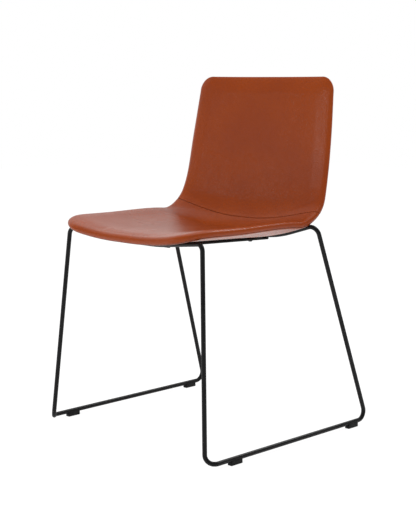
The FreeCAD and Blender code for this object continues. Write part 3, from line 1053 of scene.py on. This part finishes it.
    def glide_mesh(self) -> Mesh:
        """Block with a saddle for the rod, a softened sole and drafted sides.

        Returns:
            The mesh, its origin on the floor under the middle of the bar.
        """
        width, length, height = self.glide_size
        half, radius, top = width / 2, self.glide_round, width / 2 - self.glide_draft
        start = math.degrees(math.asin((height - self.bar_height) / self.rod_radius))
        section = arc((half - radius, radius), radius, -90, 90, self.sole_steps) + [(top, height)]
        section += arc((0.0, self.bar_height), self.rod_radius, start, -180 - 2 * start,
                       self.saddle_steps)
        section += [(-top, height)]
        section += arc((radius - half, radius), radius, 180, 90, self.sole_steps)
        block = bmesh.new()
        skin_rings(block, [[(x, share * length, z) for x, z in section] for share in self.glide_rings])
        return plain_mesh("glide", block)

    def build_glides(self, tree: NodeTree, nylon: Material) -> None:
        """Place a glide under each end of both bars.

        Args:
            tree: the copies' tree.
            nylon: their finish.
        """
        one = new_object("glide", self.glide_mesh())
        ease_edges(one, *self.glide_ease)
        spots, nodes = [], []
        for name, side in SIDES.items():
            spots.append([Vector((side * self.bar_spread, self.front_foot[1] + self.glide_back, 0.0))])
            spots.append([Vector((side * self.bar_spread, self.rear_foot[1] - self.glide_fore, 0.0))])
            nodes += ["front_%s_glide" % name, "rear_%s_glide" % name]
        glides = grow(wire_object("floor_glides", spots), tree, Piece=one, Material=nylon)
        bpy.data.objects.remove(one)
        smooth_by_angle(glides, self.crease_angle)
        finish_piece(glides, Slot.GLIDE, *nodes)


# The padded shell


@dataclass
class PaddedShell:
    """Leather covered shell: its middle surface, its rolled rim and its three panels."""

    nose: tuple = (-0.25499, 0.4499)
    nose_rise: float = 8.7
    nose_run: float = 0.0569
    seat_fall: float = 3.1
    seat_run: float = 0.2625
    bend_radius: float = 0.0901
    recline: float = 9.6
    back_run: float = 0.2795
    front_corner: float = 0.0737
    top_corner: float = 0.0373
    flat: float = 0.025
    seat_rim: float = 0.0097
    back_rim: float = 0.0077
    seam_share: float = 0.53
    seam_climb: float = 0.030
    seam_reach: float = 0.130
    lip: float = 0.0020
    rim_lip: float = 0.0007
    # Strength and reach of the painted shade along the rim's parting, and reach of the painted shade beside
    # the seam.
    rim_shade: float = 0.3
    shade_reach: float = 0.0006
    parting: float = -52.0
    seat_crown: float = 0.0018
    back_crown: float = 0.0042
    crown_reach: float = 0.028
    corner_fill: float = 0.0022
    slack: float = 0.0010
    swell: float = 0.0016
    free_margin: float = 0.004
    free_reach: float = 0.030
    hold_fall: float = 3.0
    pressure: float = 4.0
    cloth_quality: int = 5
    cloth_frames: int = 20
    fill: float = 0.9
    columns: int = 64
    spacing: float = 0.0075
    corner_steps: int = 9
    seam_gaps: tuple = (0.0002, 0.0006, 0.0012, 0.0021, 0.0036, 0.0062)
    front_steps: int = 16
    outer_steps: int = 8
    parting_gap: float = 1.0
    merge: float = 1e-7
    widths: tuple = (0.2162, 0.2216, 0.2232, 0.2254, 0.2209, 0.2158, 0.2046)
    rises: tuple = (0.0222, 0.0279, 0.0376, 0.0293, 0.0081, 0.0049, 0.0067)
    shares: tuple = (0.0, 0.197, 0.41, 0.527, 0.645, 0.806, 1.0)
    rows: list = field(init=False)

    def __post_init__(self) -> None:
        """Work out the rows of the mesh."""
        self.rows = self.make_rows()

    def pieces(self) -> list:
        """Length and turn of each stretch of the centre line.

        Returns:
            Pairs, from the nose to the top.
        """
        nose = math.radians(self.nose_rise + self.seat_fall)
        bend = math.radians(90.0 - self.recline + self.seat_fall)
        return [(self.nose_run, -nose), (self.seat_run, 0.0), (bend * self.bend_radius, bend),
                (self.back_run, 0.0)]

    def total(self) -> float:
        """Length of the centre line."""
        return sum(length for length, _ in self.pieces())

    def seam_station(self) -> float:
        """Distance of the seam from the nose, in the middle."""
        lengths = [length for length, _ in self.pieces()]
        return lengths[0] + lengths[1] + lengths[2] * self.seam_share

    def centre(self, station: float) -> tuple:
        """Point, direction and normal of the centre line.

        Args:
            station: distance from the nose.

        Returns:
            The point, the direction onward and the normal towards the sitter.
        """
        point = Vector((0.0, *self.nose))
        heading = math.radians(self.nose_rise)
        left = station
        stretches = self.pieces()
        for number, (length, turn) in enumerate(stretches):
            last = number == len(stretches) - 1
            step = left if last or left < length else length
            swing = turn * step / length
            middle = heading + swing / 2
            chord = step * math.sin(swing / 2) / (swing / 2) if abs(swing) > 1e-9 else step
            point = point + Vector((0.0, math.cos(middle), math.sin(middle))) * chord
            heading += swing
            left -= step
            if left <= 0.0:
                break
        ahead = Vector((0.0, math.cos(heading), math.sin(heading)))
        return point, ahead, Vector((0.0, -ahead.z, ahead.y))

    def blend(self, station: float, values: Sequence[float]) -> float:
        """Smooth value between the named cross-sections.

        Args:
            station: distance from the nose.
            values: one value for each of the shares.

        Returns:
            The value there.
        """
        share = min(max(station / self.total(), 0.0), 1.0)
        index = max(n for n in range(len(self.shares) - 1) if self.shares[n] <= share)
        slopes = []
        for n in (index, index + 1):
            low, high = max(n - 1, 0), min(n + 1, len(values) - 1)
            slopes.append((values[high] - values[low]) / (self.shares[high] - self.shares[low]))
        span = self.shares[index + 1] - self.shares[index]
        part = (share - self.shares[index]) / span
        rise = values[index + 1] - values[index]
        first = slopes[0] * span - rise
        last = rise - slopes[1] * span
        return values[index] + rise * part + part * (1 - part) * ((1 - part) * first + part * last)

    def rim(self, station: float) -> float:
        """Half thickness of the padding at a distance from the nose."""
        return self.seat_rim + (self.back_rim - self.seat_rim) * (station / self.total()) ** 3

    def surface(self, station: float, across: float, offset: float) -> Vector:
        """Point over or under the middle surface.

        Args:
            station: distance from the nose.
            across: distance from the middle, left positive.
            offset: height over the middle surface.

        Returns:
            The point.
        """
        point, _, up = self.centre(station)
        if abs(across) <= self.flat:
            return point + up * offset + Vector((across, 0.0, 0.0))
        run = self.blend(station, self.widths) - self.flat
        rise = self.blend(station, self.rises)
        radius = (run * run + rise * rise) / (2 * rise)
        angle = (abs(across) - self.flat) / radius
        out = self.flat + (radius - offset) * math.sin(angle)
        lift = radius - (radius - offset) * math.cos(angle)
        return point + up * lift + Vector((math.copysign(out, across), 0.0, 0.0))

    def make_rows(self) -> list:
        """Rows of the mesh across the shell, closer at the corners and beside the seam.

        Returns:
            For each row its station, its half width inside the rim, and the rim's direction.
        """
        total = self.total()
        angles = [math.radians(90.0 * n / self.corner_steps) for n in range(self.corner_steps)]
        rows = [self.corner_row(0.0, self.front_corner, angle) for angle in angles]
        start, end = self.front_corner, total - self.top_corner
        seam, beside = self.seam_station(), self.seam_gaps[-1]
        stations = [start, end, seam] + [seam + side * gap for gap in self.seam_gaps for side in (-1.0, 1.0)]
        for low, high in ((start, seam - beside), (seam + beside, end)):
            count = math.ceil((high - low) / self.spacing)
            stations += [low + (high - low) * (n + 0.5) / count for n in range(count)]
        for station in sorted(stations):
            width = self.blend(station, self.widths) - self.rim(station)
            rows.append((station, width, 0.0, 1.0))
        return rows + [self.corner_row(total, self.top_corner, angle) for angle in reversed(angles)]

    def corner_row(self, end: float, corner: float, angle: float) -> tuple:
        """Row that crosses the outline at a round corner.

        Args:
            end: station of the outline's end that the corner belongs to.
            corner: radius of the outline there.
            angle: 0 at the end and 90 degrees at the side.

        Returns:
            The row.
        """
        sign = 1.0 if end == 0.0 else -1.0
        inner = corner - self.rim(end)
        station = end + sign * (corner - inner * math.cos(angle))
        width = self.blend(station, self.widths) - corner + inner * math.sin(angle)
        return station, width, -sign * math.cos(angle), math.sin(angle)

    def warp(self, station: float, across: float) -> float:
        """Station moved so that the rows beside the seam climb with it at the sides.

        Args:
            station: distance from the nose.
            across: distance from the middle.

        Returns:
            The moved station.
        """
        away = abs(station - self.seam_station()) / self.seam_reach
        if away >= 1.0:
            return station
        width = self.blend(station, self.widths)
        return station + self.seam_climb * (across / width) ** 2 * math.cos(away * math.pi / 2) ** 2

    @staticmethod
    def dip(distance: float, lip: float) -> float:
        """How far the leather turns in near an edge, as a quarter round.

        Args:
            distance: distance from the edge.
            lip: radius of the turn.

        Returns:
            The depth.
        """
        if distance >= lip:
            return 0.0
        return lip - math.sqrt(max(lip * lip - (lip - distance) ** 2, 0.0))

    def spot(self, row: int, side: float, angle: float, out: float = 0.0, seamed: bool = True) -> tuple:
        """Place of a mesh point.

        Args:
            row: number of the row.
            side: from -1 at the right end of the row to 1 at the left end.
            angle: angle over the middle surface, 90 degrees on top and -90 below.
            out: 1 on the rim and 0 inside it.
            seamed: whether the leather dips into the seam here and takes its painted shade.

        Returns:
            The point, and the strength of the painted shade of the seam or the rim's parting there, from 0 to
            1.
        """
        station, width, along, sideways = self.rows[row]
        rim = self.rim(station)
        gap = abs(station - self.seam_station())
        depth = self.dip(gap, self.lip) if seamed else 0.0
        # Painted shade beside the seam, fading with the distance from it.
        shade_amount = math.exp(-gap / self.shade_reach) if seamed else 0.0
        radians = math.radians(angle)
        if out:
            gap = abs(radians - math.radians(self.parting)) * rim
            depth = max(depth, self.dip(gap, self.rim_lip))
            # Painted shade along the rim's parting.
            shade_amount = max(shade_amount, self.rim_shade * math.exp(-gap / self.shade_reach))
        fill = self.corner_fill * 2.0 * abs(along) * sideways
        reach = out * (rim - depth + fill) * math.cos(radians)
        offset = (rim - depth) * math.sin(radians)
        if angle > 0.0:
            slope = 2.0 * rim / self.crown_reach * max(math.cos(radians), 0.0)
            offset -= self.crown_drop(row, side) * math.sin(radians) * (1.0 + slope)
        across = side * width + math.copysign(reach * sideways, side)
        return self.surface(self.warp(station + reach * along, across), across, offset), shade_amount

    def crown_drop(self, row: int, side: float) -> float:
        """How much thinner the padding gets towards the shell's edge.

        Args:
            row: number of the row.
            side: from -1 to 1 along it.

        Returns:
            The loss of height over the middle surface.
        """
        station, width = self.rows[row][:2]
        first, last = self.rows[0][0], self.rows[-1][0]
        inward = (width * (1.0 - abs(side)), station - first, last - station)
        part = min(max((station - self.seam_station()) / self.seam_reach, 0.0), 1.0)
        crown = self.seat_crown + (self.back_crown - self.seat_crown) * part
        return crown * max(1.0 - min(inward) / self.crown_reach, 0.0) ** 2

    def panel_rows(self, panel: Panel) -> tuple:
        """First and last row of a panel.

        Args:
            panel: which panel.

        Returns:
            Both row numbers.
        """
        seam = min(range(len(self.rows)), key=lambda n: abs(self.rows[n][0] - self.seam_station()))
        last = len(self.rows) - 1
        return {Panel.SEAT: (0, seam), Panel.BACK: (seam, last), Panel.OUTER: (0, last)}[panel]

    def border(self, first: int, last: int) -> tuple:
        """Places along a panel's border that have a rim.

        Args:
            first: first row.
            last: last row.

        Returns:
            Row and column of each place in order, and whether they close a ring.
        """
        ends = (first == 0, last == len(self.rows) - 1)
        right = [(row, 0) for row in range(first, last + 1)]
        left = [(row, self.columns) for row in range(last, first - 1, -1)]
        front = [(first, column) for column in range(1, self.columns)]
        top = [(last, column) for column in range(1, self.columns)]
        if all(ends):
            return right + top + left + front[::-1], True
        if ends[0]:
            return right[::-1] + front + left[::-1], False
        return right + top + left, False

    def panel_mesh(self, panel: Panel) -> tuple:
        """Closed form of a panel with its padding.

        Args:
            panel: which panel.

        Returns:
            The mesh, and for each vertex how freely it may swell, from 0 to 1.
        """
        first, last = self.panel_rows(panel)
        if panel is Panel.OUTER:
            span, steps = (self.parting - self.parting_gap, -90.0), self.outer_steps
        else:
            span, steps = (90.0, self.parting + self.parting_gap), self.front_steps
        form = bmesh.new()
        # The layer seam keeps the strength of the painted seam shade.
        deep = form.verts.layers.float.new("seam")
        free = form.verts.layers.float.new("free")

        def put(place: tuple, looseness: float) -> bmesh.types.BMVert:
            """Add a vertex with its painted seam shade and looseness."""
            vertex = form.verts.new(place[0])
            vertex[deep] = place[1]
            vertex[free] = looseness
            return vertex

        grids = []
        for angle in span:
            grid = {}
            for row in range(first, last + 1):
                for column in range(self.columns + 1):
                    side = 2.0 * column / self.columns - 1.0
                    shown = angle == 90.0
                    share = self.looseness(row, side) if shown else 0.0
                    grid[row, column] = put(self.spot(row, side, angle, seamed=shown), share)
            grids.append(grid)
            for row in range(first, last):
                for column in range(self.columns):
                    corners = (row, column), (row, column + 1), (row + 1, column + 1), (row + 1, column)
                    form.faces.new([grid[corner] for corner in corners])
        path, ring = self.border(first, last)
        columns = self.rim_columns(put, grids, path, span, steps)
        for one, other in zip(columns, columns[1:] + columns[:1] if ring else columns[1:]):
            for k in range(len(one) - 1):
                form.faces.new([one[k], other[k], other[k + 1], one[k + 1]])
        if not ring:
            self.close_seam(form, grids, columns, last if first == 0 else first)
        bmesh.ops.remove_doubles(form, verts=form.verts, dist=self.merge)
        bmesh.ops.recalc_face_normals(form, faces=form.faces)
        form.verts.ensure_lookup_table()
        loose = [vertex[free] for vertex in form.verts]
        mesh = bpy.data.meshes.new(panel.value)
        form.to_mesh(mesh)
        form.free()
        return mesh, loose

    def looseness(self, row: int, side: float) -> float:
        """How freely the leather may swell at a place on top.

        Args:
            row: number of the row.
            side: from -1 to 1 along it.

        Returns:
            0 at the seams and rims and 1 in the open.
        """
        station, width = self.rows[row][:2]
        inward = min(width * (1.0 - abs(side)), station - self.seat_rim,
                     self.total() - station - self.back_rim)
        gap = min(abs(station - self.seam_station()) - self.lip, inward + self.free_margin)
        part = min(max(gap / self.free_reach, 0.0), 1.0)
        return part * part * (3.0 - 2.0 * part)

    def rim_columns(self, put: Callable, grids: list, path: list, span: tuple, steps: int) -> list:
        """Vertices of the rolled rim, one list from top to bottom for each place on the border.

        Args:
            put: adds a vertex.
            grids: upper and lower grid.
            path: rows and columns along the border.
            span: first and last angle.
            steps: number of steps between them.

        Returns:
            The lists, ends included.
        """
        high, low = span
        lists = []
        for row, column in path:
            side = 2.0 * column / self.columns - 1.0
            line = [grids[0][row, column]]
            for n in range(steps + 1):
                angle = high + (low - high) * n / steps
                if abs(angle) < 90.0:
                    line.append(put(self.spot(row, side, angle, out=1.0), 0.0))
            line.append(grids[1][row, column])
            lists.append(line)
        return lists

    def close_seam(self, form: bmesh.types.BMesh, grids: list, columns: list, row: int) -> None:
        """Close a panel's form with a wall inside the seam.

        Args:
            form: mesh under construction.
            grids: upper and lower grid.
            columns: the rim's vertices.
            row: row of the seam.
        """
        for column in range(self.columns):
            form.faces.new([grids[0][row, column], grids[0][row, column + 1], grids[1][row, column + 1],
                            grids[1][row, column]])
        for line in (columns[0], columns[-1]):
            form.faces.new(line)

    def swell_form(self, item: Object, loose: Sequence[float]) -> None:
        """Let the leather swell under pressure as cloth, within a small limit.

        Args:
            item: the panel's object.
            loose: how freely each vertex may move.
        """
        vertices = item.data.vertices
        normals = [vertex.normal.copy() for vertex in vertices]
        for vertex, normal, share in zip(vertices, normals, loose):
            vertex.co = vertex.co - normal * self.slack * share
        moved = self.simulate(item, loose)
        for vertex, place, normal, share in zip(vertices, moved, normals, loose):
            rise = (place - vertex.co).dot(normal)
            vertex.co = vertex.co + normal * min(max(rise, 0.0), self.swell) * share

    def simulate(self, item: Object, loose: Sequence[float]) -> list:
        """Run the cloth simulation on a panel.

        Args:
            item: the panel's object.
            loose: how freely each vertex may move.

        Returns:
            Where each vertex ends.
        """
        held = item.vertex_groups.new(name="held")
        for number, share in enumerate(loose):
            held.add([number], 1.0 - min(share * self.hold_fall, 1.0), "REPLACE")
        cloth = item.modifiers.new("swell", "CLOTH")
        cloth.settings.quality = self.cloth_quality
        cloth.settings.use_pressure = True
        cloth.settings.uniform_pressure_force = self.pressure
        cloth.settings.vertex_group_mass = "held"
        cloth.settings.effector_weights.gravity = 0.0
        scene = bpy.context.scene
        for frame in range(1, self.cloth_frames + 1):
            scene.frame_set(frame)
        graph = bpy.context.evaluated_depsgraph_get()
        mesh = item.evaluated_get(graph).to_mesh()
        moved = [vertex.co.copy() for vertex in mesh.vertices]
        item.evaluated_get(graph).to_mesh_clear()
        item.modifiers.clear()
        item.vertex_groups.clear()
        scene.frame_set(1)
        return moved

    def build(self, leather: Material) -> None:
        """Make the three panels.

        Args:
            leather: their finish.
        """
        nodes = {Panel.SEAT: ("seat_cover", "seat_foam"), Panel.BACK: ("back_cover", "back_foam"),
                 Panel.OUTER: ("outer_cover", "outer_lining")}
        for panel in Panel:
            mesh, loose = self.panel_mesh(panel)
            item = new_object(panel.value, mesh)
            if panel is not Panel.OUTER:
                self.swell_form(item, loose)
            if "free" in item.data.attributes:
                item.data.attributes.remove(item.data.attributes["free"])
            rounder = item.modifiers.new("rounder", "SUBSURF")
            rounder.levels = rounder.render_levels = 1
            rounder.boundary_smooth = "PRESERVE_CORNERS"
            apply_modifiers(item)
            item.data.shade_smooth()
            item.data.materials.append(leather)
            finish_piece(item, Slot.UPHOLSTERY, *nodes[panel])


# The room


@dataclass
class Studio:
    """Pale floor, soft light and the photograph's camera."""

    azimuth: float = 44.947
    pitch: float = -8.374
    eye: tuple = (1.9550, -1.9491, 0.7852)
    lens: float = 85.32
    ambient: float = 0.80
    dark_side: float = 0.05
    floor_glow: float = 0.78
    mirrored_glow: float = 0.15
    glow_strength: float = 1.14
    backdrop_spread: tuple = (0.02, 0.75)
    floor_size: float = 14.0
    floor_grey: tuple = (0.86, 0.86, 0.86, 1.0)
    floor_roughness: float = 0.9
    floor_gloss: float = 0.1
    sensor: float = 36.0
    sight: float = 60.0
    lamps: tuple = (("top_softbox", (0.2, 0.2, 3.2), (0.0, 0.0, 0.4), 2.4, 30.0),
                    ("front_softbox", (-1.27, -2.62, 0.97), (0.0, 0.0, 0.6), 0.5, 15.0),
                    ("rear_softbox", (0.1, 2.6, 2.9), (0.0, 0.1, 0.5), 0.7, 42.0))

    def build(self) -> None:
        """Make the floor, the lights, the world and the camera."""
        bpy.context.scene.view_settings.view_transform = "Standard"
        self.build_floor()
        self.build_world()
        self.build_lamps()
        self.build_camera()

    def build_floor(self) -> None:
        """Pale floor that goes to white but keeps the chair's shadow."""
        half = self.floor_size / 2
        mesh = bpy.data.meshes.new("studio_floor")
        mesh.from_pydata([(-half, -half, 0.0), (half, -half, 0.0), (half, half, 0.0), (-half, half, 0.0)], [],
                         [(0, 1, 2, 3)])
        floor = new_object("studio_floor", mesh)
        mix = Mix("studio_floor")
        net = mix.net
        material = mix.close({"Base Color": self.floor_grey, "Roughness": self.floor_roughness,
                              "Specular IOR Level": self.floor_gloss})
        glow = net.add("ShaderNodeEmission", {"Color": WHITE, "Strength": self.glow_strength})
        path = net.add("ShaderNodeLightPath")
        dimmed = net.math("MULTIPLY", net.mirrored(path), self.mirrored_glow)
        seen = net.math("MULTIPLY", path.outputs["Is Camera Ray"], self.floor_glow)
        plain = material.node_tree.nodes["Principled BSDF"].outputs[0]
        both = net.add("ShaderNodeMixShader", {0: net.math("MAXIMUM", seen, dimmed), 1: plain,
                                               2: glow.outputs[0]})
        net.feed(material.node_tree.nodes["Material Output"], "Surface", both.outputs[0])
        floor.data.materials.append(material)

    def build_world(self) -> None:
        """White for the camera, white to dark from its far side round for gloss, and soft light."""
        world = bpy.data.worlds.new("studio")
        world.use_nodes = True
        bpy.context.scene.world = world
        net = Net(world.node_tree)
        plain = world.node_tree.nodes["Background"]
        white = net.add("ShaderNodeBackground", {"Color": WHITE, "Strength": 1.0})
        path = net.add("ShaderNodeLightPath")
        turn = math.radians(self.azimuth)
        away = (-math.sin(turn), math.cos(turn), 0.0)
        sight = net.add("ShaderNodeTexCoord").outputs["Generated"]
        towards = net.add("ShaderNodeVectorMath", {0: sight, 1: away}, operation="DOT_PRODUCT")
        backdrop = net.ramp(towards.outputs["Value"], *self.backdrop_spread)
        lit = net.math("MULTIPLY_ADD", backdrop, 1.0 - self.dark_side, self.dark_side)
        change = net.math("SUBTRACT", lit, self.ambient)
        net.feed(plain, "Color", WHITE)
        net.feed(plain, "Strength", net.math("MULTIPLY_ADD", net.mirrored(path), change, self.ambient))
        both = net.add("ShaderNodeMixShader", {0: path.outputs["Is Camera Ray"], 1: plain.outputs[0],
                                               2: white.outputs[0]})
        net.feed(world.node_tree.nodes["World Output"], "Surface", both.outputs[0])

    def build_lamps(self) -> None:
        """Three soft lamps: overhead, low in front at the sitter's right, and high behind."""
        for name, place, target, width, power in self.lamps:
            data = bpy.data.lights.new(name, "AREA")
            data.shape = "SQUARE"
            data.size = width
            data.energy = power
            lamp = new_object(name, data)
            lamp.location = place
            aim = Vector(target) - Vector(place)
            lamp.rotation_euler = aim.to_track_quat("-Z", "Y").to_euler()

    def build_camera(self) -> None:
        """Camera at the photograph's place, with its lens."""
        data = bpy.data.cameras.new("photo_camera")
        data.sensor_width = self.sensor
        data.lens = self.lens
        data.clip_end = self.sight
        camera = new_object("photo_camera", data)
        camera.location = self.eye
        camera.rotation_euler = (math.radians(90.0 + self.pitch), 0.0, math.radians(self.azimuth))
        bpy.context.scene.camera = camera


# The chair


def dress_node(frame: dict, node: str, material: Material) -> None:
    """Give a CAD node that stays its finish.

    Args:
        node: the node's name.
        material: its finish.
    """
    item = frame["nodes"][node]
    if not item.material_slots:
        item.data.materials.append(material)
    for slot in item.material_slots:
        slot.material = material
    LOG.info("%s: CAD node kept, %s", node, material.name)


def main() -> None:
    """Build the chair and the room."""
    logging.basicConfig(level=logging.INFO, format="%(name)s: %(message)s")
    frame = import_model()
    effects = Effects()
    coat = PowderCoat().make(effects)
    leather = Leather().make(effects)
    nylon = MouldedPlastic().make(effects)
    shell = MouldedPlastic(name="black_shell_plastic", base=(0.03, 0.03, 0.031), pale=(0.045, 0.045, 0.046),
                           scuff_reach=0.001).make(effects)
    oxide = TurnedMetal("black_oxide_steel", (0.045, 0.045, 0.048), (0.020, 0.020, 0.021)).make(effects)
    brass = TurnedMetal("turned_brass", (0.62, 0.44, 0.18), (0.48, 0.33, 0.12)).make(effects)
    base = SledBase()
    copies = copies_tree()
    base.build_rods(tube_tree(), coat)
    base.build_straps(coat)
    base.build_welds(ripple_tree(), coat)
    base.build_screws(copies, oxide)
    base.build_glides(copies, nylon)
    PaddedShell().build(leather)
    dress_node(frame, "inner_shell", shell)
    dress_node(frame, "threaded_inserts", brass)
    Studio().build()


if __name__ == "__main__":
    main()
